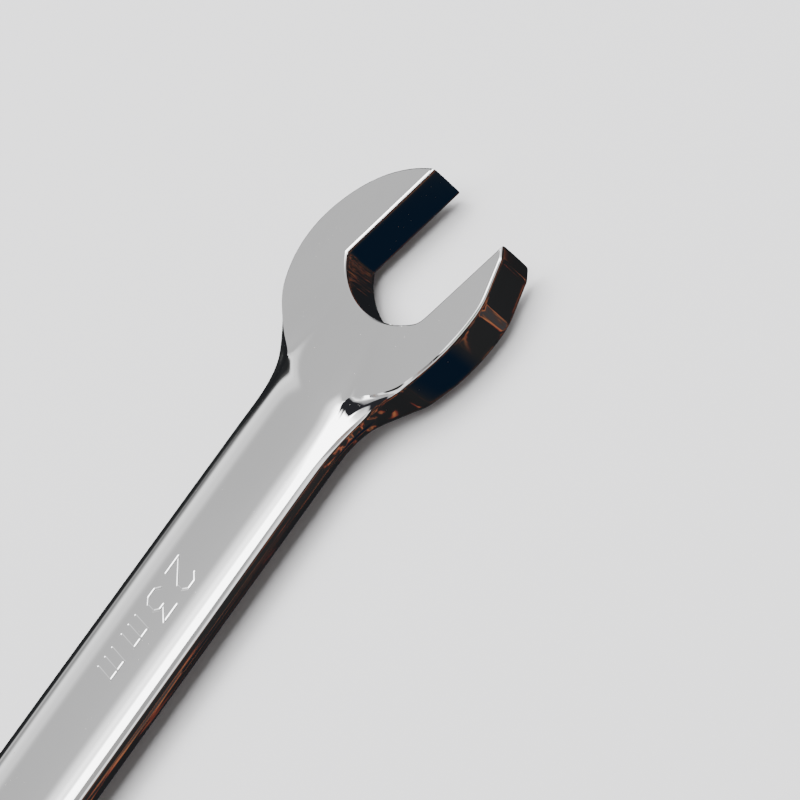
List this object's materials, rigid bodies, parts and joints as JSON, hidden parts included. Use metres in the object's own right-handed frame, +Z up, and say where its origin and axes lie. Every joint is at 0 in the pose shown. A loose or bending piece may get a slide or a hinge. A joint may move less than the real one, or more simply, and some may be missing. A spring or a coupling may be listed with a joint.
{
  "type": "ratcheting combination wrench",
  "caption": "Chrome combination wrench: slanted open end on a flat shank, and a reversible ratcheting twelve-point ring end with a thumb lever.",
  "frame": {"origin": "on the ring end's drive axis, in the plane of the ring head's underside", "axes": "+X along the shank from the ring end to the open end, +Z up through the ring, out of the face that carries the lever"},
  "size_m": [0.2988, 0.045, 0.016],
  "materials": {
    "polished_chrome": "mirror",
    "satin_chrome": "satin",
    "plain_steel": "ground",
    "spring_steel": "oiled black",
    "black_rubber": "matt"
  },
  "bodies": {
    "wrench": {"wrench_body": "polished_chrome", "retaining_washer": "plain_steel", "snap_ring": "spring_steel", "detent_spring": "spring_steel"},
    "gear": {"ratchet_gear": "satin_chrome", "gear_seal": "black_rubber"},
    "selector": {"reversing_lever": "satin_chrome", "double_pawl": "plain_steel", "lever_seal": "black_rubber", "lever_clip": "spring_steel"},
    "ball": {"detent_ball": "plain_steel"}
  },
  "joints": [
    {"name": "gear_spin", "type": "hinge", "parent": "wrench", "child": "gear", "pos_m": [0, 0, 0.00675], "axis": [0, 0, 1], "continuous": true},
    {"name": "lever_swing", "type": "hinge", "parent": "wrench", "child": "selector", "pos_m": [0.023, 0, 0.00675], "axis": [0, 0, 1], "range_deg": [-20, 0]},
    {"name": "ball_press", "type": "slide", "parent": "wrench", "child": "ball", "axis": [1, 0, 0], "range_m": [-0.0006, 0], "stiffness_N_per_m": 800, "deforming": ["detent_spring"]}
  ]
}
